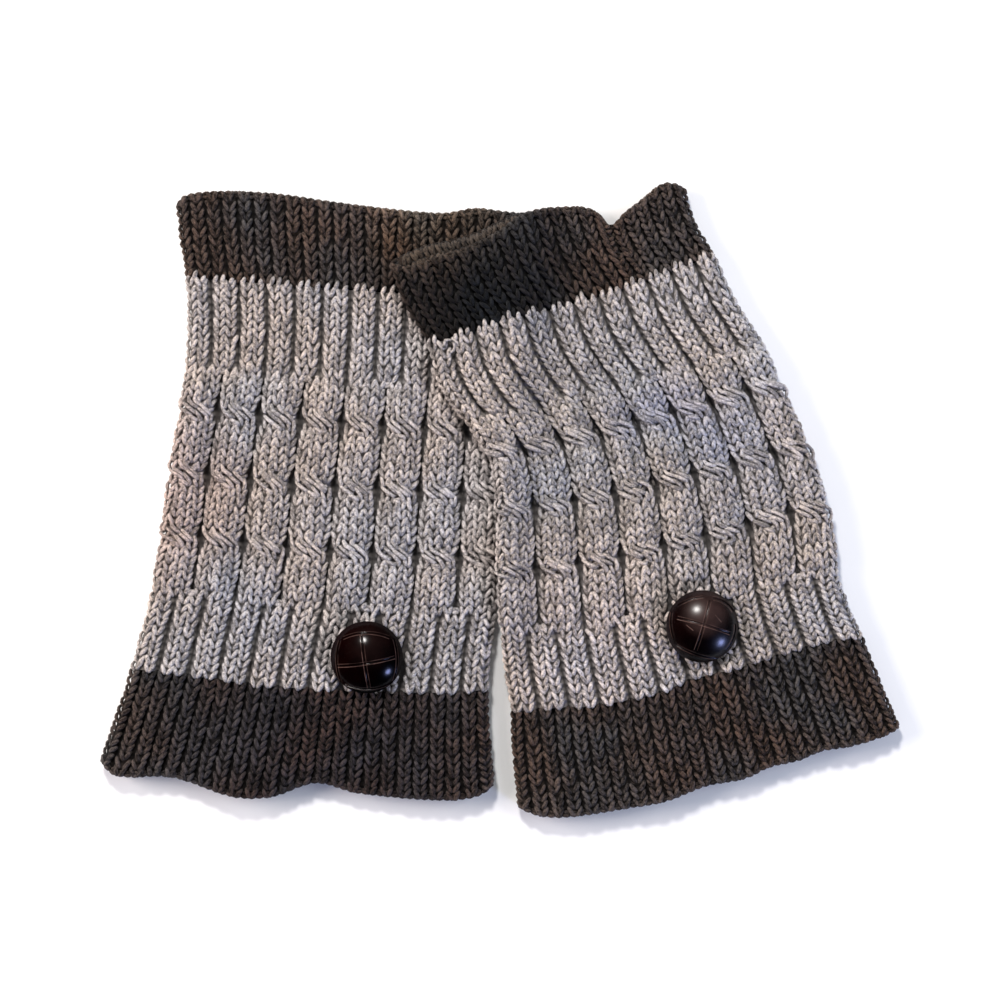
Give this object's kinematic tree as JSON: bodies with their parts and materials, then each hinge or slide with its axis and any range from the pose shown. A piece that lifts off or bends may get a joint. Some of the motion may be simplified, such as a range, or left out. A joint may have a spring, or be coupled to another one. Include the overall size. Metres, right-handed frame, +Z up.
{
  "type": "pair of leg warmers",
  "caption": "Pair of short cable-knit leg warmers laid flat, one overlapping the other, each with dark ribbed bands and a domed button.",
  "frame": {"origin": "centre of the pair's footprint, on the surface that it lies on", "axes": "+X to the right across both leg warmers, +Y towards their mouths, +Z up off the surface"},
  "size_m": [0.2764, 0.2191, 0.0151],
  "materials": {
    "heather_knit": "matte heathered wool-blend yarn",
    "dark_rib": "matte charcoal-brown yarn",
    "button": "glossy oxblood leather look"
  },
  "bodies": {
    "root": {"left_top_band": "dark_rib", "left_body": "heather_knit", "left_hem_band": "dark_rib", "left_button": "button", "right_top_band": "dark_rib", "right_body": "heather_knit", "right_hem_band": "dark_rib", "right_button": "button"}
  },
  "joints": []
}
